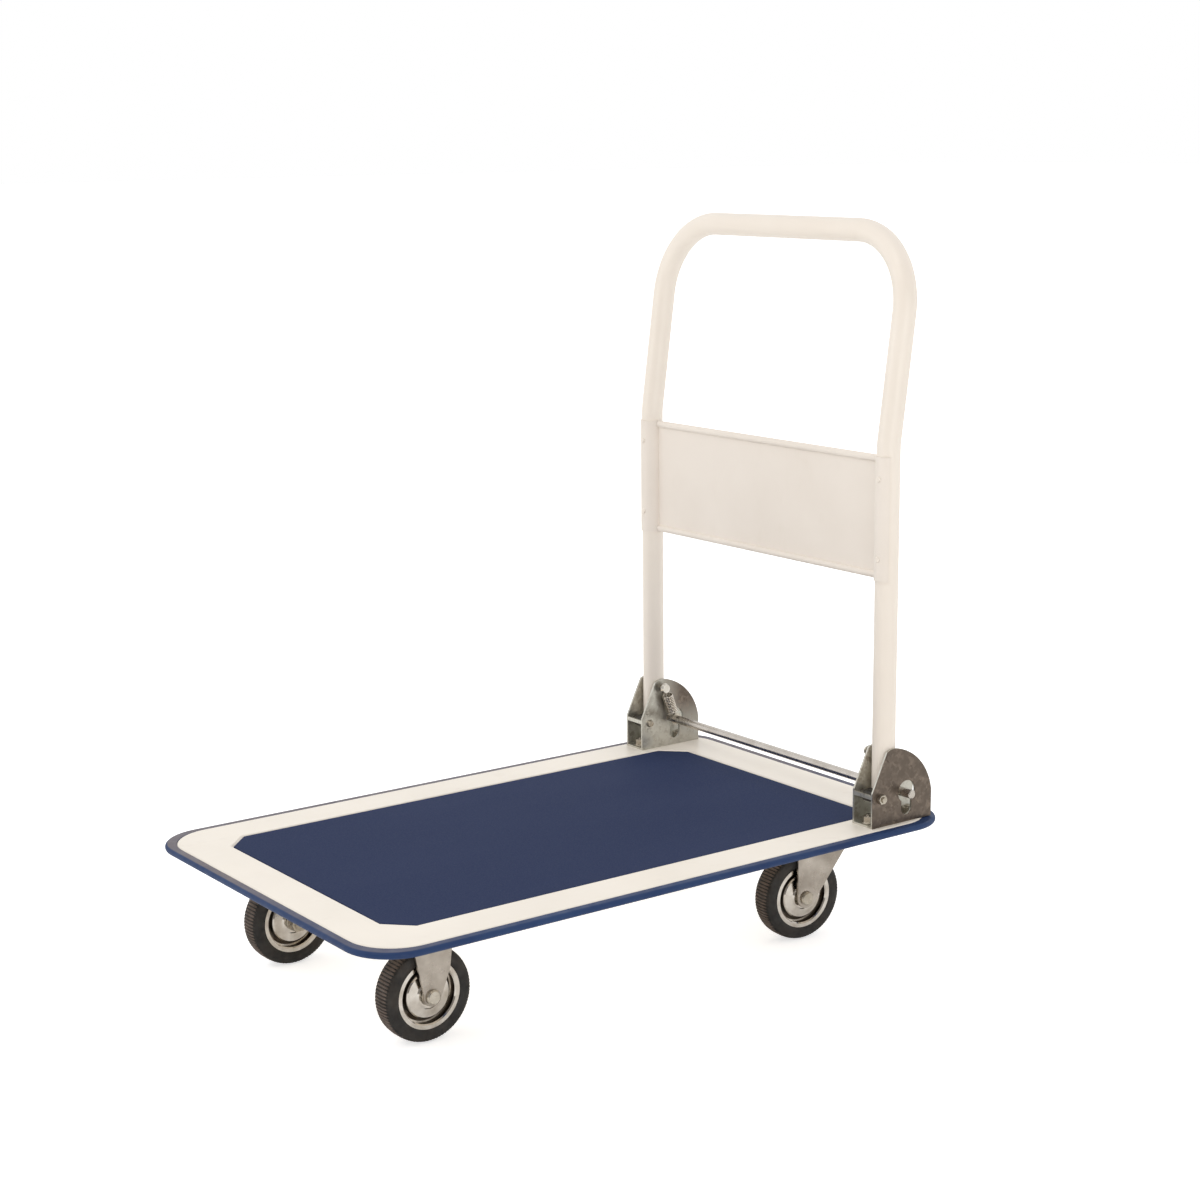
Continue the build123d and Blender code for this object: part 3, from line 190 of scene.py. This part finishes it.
class Finish:
    """A node material under construction, round one Principled shader."""

    def __init__(self, name, metallic=0.0):
        self.data = bpy.data.materials.new(name)
        self.data.use_nodes = True
        self.tree = self.data.node_tree
        self.shader = self.tree.nodes["Principled BSDF"]
        self.shader.inputs["Metallic"].default_value = metallic
        self.place = self.tree.nodes.new("ShaderNodeTexCoord").outputs["Object"]

    def node(self, kind, **wires):
        made = self.tree.nodes.new("ShaderNode" + kind)
        for socket, source in wires.items():
            target = made.inputs[socket.replace("_", " ")]
            if isinstance(source, bpy.types.NodeSocket):
                self.tree.links.new(source, target)
            else:
                target.default_value = source
        return made

    def noise(self, scale, detail=3.0, stretch=None):
        """Cloudy noise with about scale features per metre, scaled by stretch along X, Y, Z."""
        place = self.place
        if stretch:
            place = self.node("Mapping", Vector=self.place, Scale=stretch).outputs["Vector"]
        return self.node("TexNoise", Vector=place, Scale=scale, Detail=detail).outputs["Fac"]

    def cells(self, scale):
        """One random value for each crystal cell."""
        made = self.node("TexVoronoi", Vector=self.place, Scale=scale)
        return self.node("SeparateColor", Color=made.outputs["Color"]).outputs["Red"]

    def waves(self, scale, direction):
        made = self.node("TexWave", Vector=self.place, Scale=scale)
        made.bands_direction = direction
        return made.outputs["Fac"]

    def spread(self, value, low, high, to_low=0.0, to_high=1.0):
        """value from low..high brought to to_low..to_high, clamped."""
        made = self.node("MapRange", Value=value)
        for socket, number in zip(("From Min", "From Max", "To Min", "To Max"),
                                  (low, high, to_low, to_high)):
            made.inputs[socket].default_value = number
        return made.outputs["Result"]

    def combine(self, operation, first, second):
        made = self.node("Math")
        made.operation = operation
        self.tree.links.new(first, made.inputs[0])
        self.tree.links.new(second, made.inputs[1])
        return made.outputs["Value"]

    def times(self, first, second):
        return self.combine("MULTIPLY", first, second)

    def radius(self, centre, axis):
        """Distance in metres from the line through centre along axis."""
        offset = self.node("VectorMath")
        offset.operation = "SUBTRACT"
        self.tree.links.new(self.place, offset.inputs[0])
        offset.inputs[1].default_value = centre
        crossed = self.node("VectorMath")
        crossed.operation = "CROSS_PRODUCT"
        self.tree.links.new(offset.outputs["Vector"], crossed.inputs[0])
        crossed.inputs[1].default_value = axis
        length = self.node("VectorMath")
        length.operation = "LENGTH"
        self.tree.links.new(crossed.outputs["Vector"], length.inputs[0])
        return length.outputs["Value"]

    def band(self, value, low, high, edge):
        """1 between low and high, falling to 0 over edge outside them."""
        rising = self.spread(value, low - edge, low)
        falling = self.spread(value, high, high + edge, 1.0, 0.0)
        return self.times(rising, falling)

    def mix(self, factor, first, second):
        made = self.tree.nodes.new("ShaderNodeMix")
        made.data_type = "RGBA"
        sockets = (MIX_FACTOR, MIX_FIRST, MIX_SECOND)
        for socket, source in zip(sockets, (factor, first, second)):
            if isinstance(source, bpy.types.NodeSocket):
                self.tree.links.new(source, made.inputs[socket])
            else:
                made.inputs[socket].default_value = source
        return made.outputs[MIX_RESULT]

    def split(self, source, axis):
        return self.node("SeparateXYZ", Vector=source).outputs[axis]

    def facing_up(self):
        """1 on level upward faces, 0 on sloping ones."""
        normal = self.node("NewGeometry").outputs["Normal"]
        return self.spread(self.split(normal, "Z"), 0.9, 1.0)

    def colour(self, source):
        self.tree.links.new(source, self.shader.inputs["Base Color"])

    def roughness(self, source):
        self.tree.links.new(source, self.shader.inputs["Roughness"])

    def relief(self, *layers):
        """Bump from (height, distance in metres) layers, one on another."""
        normal = None
        for height, distance in layers:
            made = self.node("Bump", Height=height, Distance=distance, Strength=1.0)
            if normal:
                self.tree.links.new(normal, made.inputs["Normal"])
            normal = made.outputs["Normal"]
        self.tree.links.new(normal, self.shader.inputs["Normal"])


def paint(name, clean, worn):
    """Powder coat: faint clouding, handling marks and orange peel."""
    finish = Finish(name)
    cloud = finish.spread(finish.noise(9, 4), 0.35, 0.75)
    scuffs = finish.spread(finish.noise(40, 6, (1, 1, 0.4)), 0.62, 0.75)
    base = finish.mix(cloud, clean, worn)
    finish.colour(finish.mix(finish.times(scuffs, cloud), base, tint(229, 219, 206)))
    finish.roughness(finish.spread(finish.noise(55, 3), 0.3, 0.7, 0.30, 0.42))
    finish.relief((finish.noise(1100, 2), 0.00003))
    return finish.data


def vinyl_mat():
    """Fine-grained dark blue anti-slip sheet with a little dust."""
    finish = Finish("mat_vinyl")
    dust = finish.spread(finish.noise(5, 5, (0.4, 1, 1)), 0.45, 0.8)
    speckle = finish.spread(finish.noise(900, 2), 0.35, 0.65)
    base = finish.mix(speckle, tint(39, 50, 81), tint(45, 56, 88))
    finish.colour(finish.mix(dust, base, tint(48, 58, 89)))
    finish.roughness(finish.spread(finish.noise(700, 2), 0.3, 0.7, 0.62, 0.78))
    finish.shader.inputs["Specular IOR Level"].default_value = 0.08
    finish.relief((finish.noise(1600, 2), 0.00003))
    return finish.data


SHEEN_AND_DUST_ACROSS = (0.03, 0.30)               # the painted top highlight with dust grows over these distances from the right side
SHEEN_AND_DUST_ALONG = (0.03, 0.13)                # and fades over these from the load end


def bumper_vinyl():
    """Blue extruded vinyl; its level top carries a painted grey-brown highlight with dust, except
    along the right side.
    """
    finish = Finish("bumper_vinyl")
    load_end, right_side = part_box("edge_bumper")[0][:2]
    across = finish.spread(finish.split(finish.place, "Y"),
                           right_side + SHEEN_AND_DUST_ACROSS[0], right_side + SHEEN_AND_DUST_ACROSS[1])
    along = finish.spread(finish.split(finish.place, "X"),
                          load_end + SHEEN_AND_DUST_ALONG[0], load_end + SHEEN_AND_DUST_ALONG[1], 0.4, 0.0)
    dust = finish.spread(finish.noise(30, 4), 0.2, 0.8, 0.6, 1.0)
    # Painted highlight with dust: level upward faces are tinted grey-brown (116, 107, 108) where
    # the top catches the light.
    top_sheen_and_dust = finish.times(dust, finish.combine("MAXIMUM", across, along))
    blotch = finish.spread(finish.noise(14, 4), 0.3, 0.7)
    blue = finish.mix(blotch, tint(22, 47, 90), tint(33, 60, 102))
    finish.colour(finish.mix(finish.times(finish.facing_up(), top_sheen_and_dust), blue, tint(116, 107, 108)))
    finish.roughness(finish.spread(finish.noise(80, 3), 0.3, 0.7, 0.42, 0.6))
    finish.shader.inputs["Specular IOR Level"].default_value = 0.3
    finish.relief((finish.noise(500, 3), 0.00005), (finish.noise(25, 2), 0.0003))
    return finish.data


FACE_FADE = (0.0006, 0.0002)             # depths between which a cheek's face finish fades in
PATINA_ALONG = (-0.012, 0.030)           # along X from LEG_X, the patina grows between these
PATINA_HEIGHT = (0.010, 0.055)           # and in height above the deck between these


def galvanised(name, light, dark, patina):
    """Galvanised bracket: fine spangle, with a brown patina on the cheeks' free faces."""
    finish = Finish(name, metallic=0.85)
    spangle = finish.spread(finish.cells(330), 0.1, 0.9)
    cloud = finish.spread(finish.noise(95, 6), 0.35, 0.7)
    base = finish.mix(spangle, light, finish.mix(cloud, light, dark))
    mottle = finish.mix(spangle, patina, finish.mix(cloud, patina, tint(134, 121, 109)))
    inner, outer = cheek_faces()
    aside = finish.node("Math", Value=finish.split(finish.place, "Y"))
    aside.operation = "ABSOLUTE"
    away = aside.outputs["Value"]
    free_outer = finish.spread(away, outer - FACE_FADE[0], outer - FACE_FADE[1])
    free_inner = finish.spread(away, inner + FACE_FADE[0], inner + FACE_FADE[1])
    rear = finish.spread(finish.split(finish.place, "X"),
                         LEG_X + PATINA_ALONG[0], LEG_X + PATINA_ALONG[1])
    high = finish.spread(finish.split(finish.place, "Z"),
                         DECK_TOP + PATINA_HEIGHT[0], DECK_TOP + PATINA_HEIGHT[1], 0.25, 1.0)
    stained = finish.times(free_inner, finish.times(rear, high))
    browned = finish.mix(stained, base, mottle)
    finish.colour(finish.mix(free_outer, browned, mottle))
    finish.roughness(finish.spread(finish.noise(160, 4), 0.25, 0.75, 0.26, 0.46))
    finish.relief((finish.noise(60, 2), 0.00008), (finish.noise(1200, 2), 0.00002))
    return finish.data


def bright_zinc(name, light, dark, smooth=0.18, dull=0.38, streak=None, scale=60):
    """Zinc plate: cloudy tone with fine draw or brush marks along streak."""
    finish = Finish(name, metallic=1.0)
    cloud = finish.spread(finish.noise(scale, 4), 0.3, 0.7)
    finish.colour(finish.mix(cloud, light, dark))
    marks = finish.noise(1400, 2, streak)
    finish.roughness(finish.spread(finish.noise(scale * 3, 3), 0.3, 0.7, smooth, dull))
    finish.relief((marks, 0.00001), (finish.noise(scale, 2), 0.00004))
    return finish.data


THREAD_WAVES = 251                       # wave scale of a 1.25 mm thread


def threaded_zinc():
    """Zinc-plated upright bolts whose shanks show a thread."""
    finish = Finish("bolt_zinc_z", metallic=1.0)
    cloud = finish.spread(finish.noise(90, 4), 0.3, 0.7)
    finish.colour(finish.mix(cloud, tint(196, 190, 178), tint(150, 140, 124)))
    finish.roughness(finish.spread(finish.noise(300, 3), 0.3, 0.7, 0.22, 0.42))
    finish.relief((finish.waves(THREAD_WAVES, "Z"), 0.0004),
                  (finish.noise(700, 2), 0.00001))
    return finish.data


GROOVE_RADII = (0.0252, 0.0288)          # of the ring between a wheel's dome and its lip
GROOVE_EDGE = 0.0008                     # the painted groove shade fades over this
CROWN_RADIUS = 0.0486                    # the dusty tread starts here
CROWN_EDGE = 0.0006


def rim_zinc(wheel):
    """Bright pressed discs with painted shade in the ring-shaped groove."""
    finish = Finish(wheel + "_rim_zinc", metallic=1.0)
    joint = JOINTS[wheel + "_wheel_spin"]
    radius = finish.radius(joint["pos_m"], joint["axis"])
    cloud = finish.spread(finish.noise(70, 4), 0.3, 0.7)
    plate = finish.mix(cloud, tint(226, 221, 214), tint(186, 178, 167))
    # Painted shade: the ring between dome and lip is darkened to brown (66, 56, 45) and made
    # rougher, where the groove lies in shade.
    groove_shade = finish.times(finish.band(radius, *GROOVE_RADII, GROOVE_EDGE),
                         finish.spread(finish.noise(60, 3), 0.2, 0.6, 0.75, 1.0))
    finish.colour(finish.mix(groove_shade, plate, tint(66, 56, 45)))
    finish.roughness(finish.spread(groove_shade, 0.0, 1.0, 0.11, 0.5))
    finish.relief((finish.noise(70, 2), 0.00005), (finish.noise(1400, 2), 0.00001))
    return finish.data


def rubber(wheel):
    """Black tyre rubber: brown dust on the tread's bars and a matt sidewall."""
    finish = Finish(wheel + "_tyre_rubber")
    joint = JOINTS[wheel + "_wheel_spin"]
    radius = finish.radius(joint["pos_m"], joint["axis"])
    crown = finish.spread(radius, CROWN_RADIUS, CROWN_RADIUS + CROWN_EDGE)
    dust = finish.spread(finish.noise(45, 5), 0.42, 0.75)
    base = finish.mix(finish.spread(finish.noise(300, 3), 0.3, 0.7),
                      tint(22, 20, 18), tint(33, 30, 27))
    side = finish.mix(dust, base, tint(50, 43, 37))
    worn = finish.mix(finish.spread(finish.noise(90, 4), 0.3, 0.7),
                      tint(70, 59, 51), tint(108, 93, 83))
    finish.colour(finish.mix(crown, side, worn))
    finish.roughness(finish.spread(finish.noise(120, 3), 0.3, 0.7, 0.55, 0.8))
    finish.relief((finish.noise(650, 3), 0.00012))
    return finish.data


def dark_steel():
    """Nearly black steel, its dark colour standing in for the shade inside the brackets."""
    finish = Finish("foot_shade_dark_steel", metallic=0.6)
    cloud = finish.spread(finish.noise(110, 4), 0.3, 0.7)
    # Painted shade: the feet are coloured nearly black (62, 60, 57 to 84, 80, 74) because they sit
    # in the shade inside the brackets.
    finish.colour(finish.mix(cloud, tint(62, 60, 57), tint(84, 80, 74)))
    finish.roughness(finish.spread(finish.noise(240, 3), 0.3, 0.7, 0.4, 0.6))
    finish.relief((finish.noise(700, 2), 0.00006))
    return finish.data


DECK_PAINT = paint("deck_cream", tint(244, 236, 224), tint(238, 230, 218))
HANDLE_PAINT = paint("handle_cream", tint(241, 232, 221), tint(237, 227, 215))
MAT = vinyl_mat()
BUMPER = bumper_vinyl()
SPANGLE = galvanised("bracket_spangle", tint(206, 204, 194), tint(168, 162, 150),
                     tint(101, 91, 82))
FORK = bright_zinc("fork_zinc", tint(190, 182, 172), tint(146, 137, 127), 0.22, 0.40,
                   (1, 1, 0.05), 35)
FASTENER = bright_zinc("fastener_zinc", tint(206, 200, 188), tint(160, 150, 134), 0.2, 0.4)
BOLT = threaded_zinc()
ROD = bright_zinc("rod_zinc", tint(206, 200, 193), tint(186, 179, 170), 0.22, 0.32)
BUSH = bright_zinc("bush_steel", tint(150, 146, 140), tint(110, 105, 98), 0.3, 0.5)
SPRING = bright_zinc("spring_wire", tint(228, 222, 212), tint(186, 176, 162), 0.14, 0.26)
STUD = bright_zinc("stud_zinc", tint(228, 224, 216), tint(196, 190, 180), 0.10, 0.20)
BALL = bright_zinc("ball_chrome", tint(214, 214, 214), tint(190, 190, 190), 0.08, 0.16)
FOOT = dark_steel()
PANEL = paint("panel_cream", tint(238, 229, 219), tint(231, 221, 210))

# Each rim gets a finish of its own below, and the plain tyres are hidden.
FINISHES = {
    "deck_paint": DECK_PAINT, "handle_paint": HANDLE_PAINT, "mat": MAT, "bumper": BUMPER,
    "bracket_zinc": SPANGLE, "fork_zinc": FORK, "rim_zinc": FORK, "fastener_zinc": FASTENER,
    "rod_zinc": ROD, "foot_steel": FOOT, "bush_steel": BUSH, "spring_steel": SPRING,
    "ball_steel": BALL, "tyre_rubber": FOOT,
}
for part in frame["record"]["subparts"]:
    NODES[part["node"]].data.materials[0] = FINISHES[part["material_slot"]]
NODES["bracket_bolts"].data.materials[0] = BOLT
NODES["spring_studs"].data.materials[0] = STUD
NODES["name_panel"].data.materials[0] = PANEL
for wheel in WHEELS:
    NODES[wheel + "_rim"].data.materials[0] = rim_zinc(wheel)


# ------------------------------------------------------------------ edges of pressed parts
EDGE_ROUNDING = 0.0004
SHARP_ANGLE = 40                         # degrees from which an edge is rounded
SAME_POINT = 0.000001


def soften(name):
    """Round a CAD node's sharp edges so that they catch the light."""
    piece = NODES[name]
    weld = piece.modifiers.new("weld", "WELD")
    weld.merge_threshold = SAME_POINT
    bevel = piece.modifiers.new("edges", "BEVEL")
    bevel.width = EDGE_ROUNDING
    bevel.segments = 2
    bevel.limit_method = "ANGLE"
    bevel.angle_limit = math.radians(SHARP_ANGLE)
    bevel.harden_normals = True


for name in ("bracket_left", "bracket_right", "deck_mat", "bracket_nuts", "pivot_nuts"):
    soften(name)


# ------------------------------------------------------------------ new pieces
def new_piece(name, mesh, finish, slot_name, body, *nodes):
    """Object that stands for the CAD nodes and hides them; with body None the piece is not
    attached to a body.
    """
    mesh.materials.append(finish)
    piece = bpy.data.objects.new(name, mesh)
    bpy.context.collection.objects.link(piece)
    if body:
        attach(piece, body)
    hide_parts(*nodes)
    return piece


def wheel_place(name):
    """Matrix from wheel space, its axle along Y, to the frame."""
    joint = JOINTS[name + "_wheel_spin"]
    axle = Vector(joint["axis"]).normalized()
    forward = axle.cross(Vector((0, 0, 1)))
    turn = Matrix((forward, axle, Vector((0, 0, 1)))).transposed()
    return Matrix.Translation(joint["pos_m"]) @ turn.to_4x4()


TREAD_BARS = 84
TREAD_DEPTH = 0.0011
TREAD_STEPS = (0.0, 0.12, 0.55, 0.67)    # share of one bar pitch: rise, top, fall, groove
TREAD_HALF = 0.0113                      # bars lie within this distance of the tyre's middle
TREAD_INNER = 0.0480                     # and outside this radius
SMOOTH_ANGLE = 35                        # degrees up to which the rubber is shaded smooth
TYRE_SIDE = (                            # (along the axle, radius), rim lip to crown
    (0.0110, 0.0330), (0.0110, 0.0356), (0.0124, 0.0355), (0.0134, 0.0372),
    (0.0141, 0.0395), (0.0142, 0.0420), (0.0137, 0.0446), (0.0128, 0.0464),
    (0.0118, 0.0477), (0.0112, 0.0484), (0.0086, 0.0494), (0.0045, 0.04985),
)


def tyre_mesh(name, place):
    """Rubber tyre with bars across its crown."""
    mirrored = [(-along, radius) for along, radius in TYRE_SIDE]
    profile = mirrored + list(reversed(TYRE_SIDE))
    form = bmesh.new()
    rings = []
    for bar in range(TREAD_BARS):
        for step, share in enumerate(TREAD_STEPS):
            turn = 2 * math.pi * (bar + share) / TREAD_BARS
            sunk = TREAD_DEPTH if step in (0, 3) else 0.0
            ring = []
            for along, radius in profile:
                on_tread = abs(along) < TREAD_HALF and radius > TREAD_INNER
                reach = radius - (sunk if on_tread else 0.0)
                point = (reach * math.cos(turn), along, reach * math.sin(turn))
                ring.append(form.verts.new(point))
            rings.append(ring)
    for first, second in zip(rings, rings[1:] + rings[:1]):
        for index in range(len(profile)):
            after = (index + 1) % len(profile)
            form.faces.new((first[index], first[after], second[after], second[index]))
    bmesh.ops.recalc_face_normals(form, faces=form.faces)
    mesh = bpy.data.meshes.new(name)
    form.to_mesh(mesh)
    form.free()
    mesh.transform(place)
    mesh.shade_smooth()
    mesh.set_sharp_from_angle(angle=math.radians(SMOOTH_ANGLE))
    return mesh


for wheel in WHEELS:
    mesh = tyre_mesh(wheel + "_treaded_tyre", wheel_place(wheel))
    new_piece(wheel + "_treaded_tyre", mesh, rubber(wheel), "tyre_rubber",
              JOINTS[wheel + "_wheel_spin"]["child"], wheel + "_tyre")


# ------------------------------------------------------------------ springs
SPRING_RADIUS = 0.0061                   # to the wire's centre
WIRE_RADIUS = 0.0010
SPRING_TURNS = 11
COIL_POINTS = 20                         # per turn
HOOK_POINTS = 14
HOOK_PLAY = 0.0002                       # between a hook's wire and the stud or rod
HOOK_NECK = 0.0045                       # from a hook's wire to the first or last coil
HOOK_OVERRUN = 0.15                      # how far each hook goes past half a turn, in half turns
STUD_SHANK = 0.0035                      # radius


def arc_points(centre, radius, start, end, first, second, count):
    """Points of an arc about centre, from start to end radians, in the plane first, second."""
    points = []
    for step in range(count + 1):
        turn = start + (end - start) * step / count
        points.append(centre + first * radius * math.cos(turn) + second * radius * math.sin(turn))
    return points


def spring_mesh(name, stud, rod, rod_radius, stud_radius):
    """Close-wound tension spring from the stud to the rod, hooked round both."""
    along = (rod - stud).normalized()
    side = Vector((0, 1, 0))
    across = along.cross(side).normalized()
    upper_hook = stud_radius + WIRE_RADIUS + HOOK_PLAY
    lower_hook = rod_radius + WIRE_RADIUS + HOOK_PLAY
    start = upper_hook + HOOK_NECK
    length = (rod - stud).length - start - lower_hook - HOOK_NECK
    points = arc_points(stud, upper_hook, math.pi * (1 + HOOK_OVERRUN), 0.0, along, across,
                        HOOK_POINTS)
    for step in range(SPRING_TURNS * COIL_POINTS + 1):
        share = step / (SPRING_TURNS * COIL_POINTS)
        turn = 2 * math.pi * share * SPRING_TURNS
        spot = stud + along * (start + length * share)
        points.append(spot + across * SPRING_RADIUS * math.cos(turn)
                      + side * SPRING_RADIUS * math.sin(turn))
    points += arc_points(rod, lower_hook, math.pi, -HOOK_OVERRUN * math.pi, along, across,
                         HOOK_POINTS)
    curve = bpy.data.curves.new(name, "CURVE")
    curve.dimensions = "3D"
    curve.bevel_depth = WIRE_RADIUS
    curve.bevel_resolution = 3
    curve.use_fill_caps = True
    line = curve.splines.new("POLY")
    line.points.add(len(points) - 1)
    for point, spot in zip(line.points, points):
        point.co = (*spot, 1)
    holder = bpy.data.objects.new(name + "_line", curve)
    mesh = bpy.data.meshes.new_from_object(holder)
    bpy.data.objects.remove(holder)
    mesh.shade_smooth()
    mesh.name = name
    return mesh


rod_low, rod_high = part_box("lock_rod")
rod_radius = (rod_high[0] - rod_low[0]) / 2
for side in SIDES:
    node = "spring_" + side
    centre = middle(node)
    stud = Vector((middle("spring_studs").x, centre.y, middle("spring_studs").z))
    rod = Vector((middle("lock_rod").x, centre.y, middle("lock_rod").z))
    mesh = spring_mesh("coil_" + node, stud, rod, rod_radius, STUD_SHANK)
    coil = new_piece("coil_" + node, mesh, SPRING, "spring_steel", None, node)
    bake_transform(coil)
